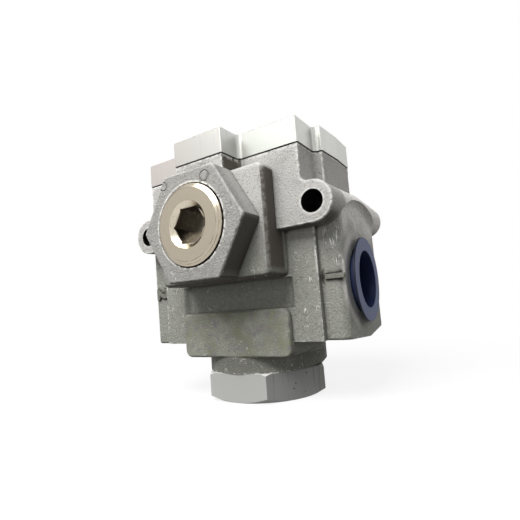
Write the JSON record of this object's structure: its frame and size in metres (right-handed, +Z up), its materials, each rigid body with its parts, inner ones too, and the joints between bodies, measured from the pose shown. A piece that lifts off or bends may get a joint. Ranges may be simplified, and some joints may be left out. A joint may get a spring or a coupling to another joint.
{
  "type": "blowdown valve",
  "caption": "Air-piloted poppet valve: cast body with capped side ports, plugged hexagonal exhaust boss, cross-shaped pilot cover, hexagonal bottom cap and through-bolt ears.",
  "frame": {"origin": "centre of the bottom cap's flat underside, on the stem axis", "axes": "+Z up along the stem from the bottom cap to the pilot cover; +X out of the inlet port; -X out of the cylinder port; -Y the front, out of the plugged exhaust port"},
  "size_m": [0.1276, 0.1029, 0.1343],
  "materials": {
    "cast_aluminium": "blasted casting, matt with a fine grain",
    "machined_aluminium": "fine milled, satin",
    "cap_aluminium": "turned and drawn, satin with faint upright streaks",
    "nickel_plated_brass": "nickel plated, warm and polished on the bevel",
    "blue_polyethylene": "moulded, soft sheen",
    "gasket_sheet": "pressed fibre sheet, matt",
    "nitrile_rubber": "moulded, matt",
    "bearing_plastic": "filled PTFE, waxy",
    "stainless_steel": "turned and ground",
    "zinc_plated_steel": "zinc plated, satin",
    "spring_steel": "drawn wire and oiled strip",
    "bronze": "sintered, matt"
  },
  "bodies": {
    "valve_body": {"body": "cast_aluminium", "pilot_cover": "machined_aluminium", "cover_gasket": "gasket_sheet", "cover_screws": "zinc_plated_steel", "guide_plate": "machined_aluminium", "guide_plate_seal": "nitrile_rubber", "retaining_ring": "spring_steel", "stem_guide_bush": "bronze", "stem_seal": "nitrile_rubber", "return_spring": "spring_steel", "spring_seat": "stainless_steel", "bottom_cap": "cap_aluminium", "bottom_cap_seal": "nitrile_rubber", "exhaust_port_plug": "nickel_plated_brass", "exhaust_plug_seal": "gasket_sheet", "inlet_port_protector": "blue_polyethylene", "cylinder_port_protector": "blue_polyethylene"},
    "poppet_stem": {"stem": "stainless_steel", "stem_nuts": "zinc_plated_steel", "exhaust_poppet_nut": "zinc_plated_steel", "seal_retainers": "stainless_steel", "piston": "machined_aluminium", "piston_seal": "nitrile_rubber", "piston_guide_ring": "bearing_plastic", "inlet_poppet": "machined_aluminium", "inlet_poppet_seal": "nitrile_rubber", "exhaust_poppet": "machined_aluminium", "exhaust_poppet_seal": "nitrile_rubber"}
  },
  "joints": [
    {"name": "poppet_slide", "type": "slide", "parent": "valve_body", "child": "poppet_stem", "axis": [0, 0, -1], "range_m": [0, 0.007], "stiffness_N_per_m": 4400, "springref_m": -0.009, "deforming": ["return_spring"]}
  ]
}
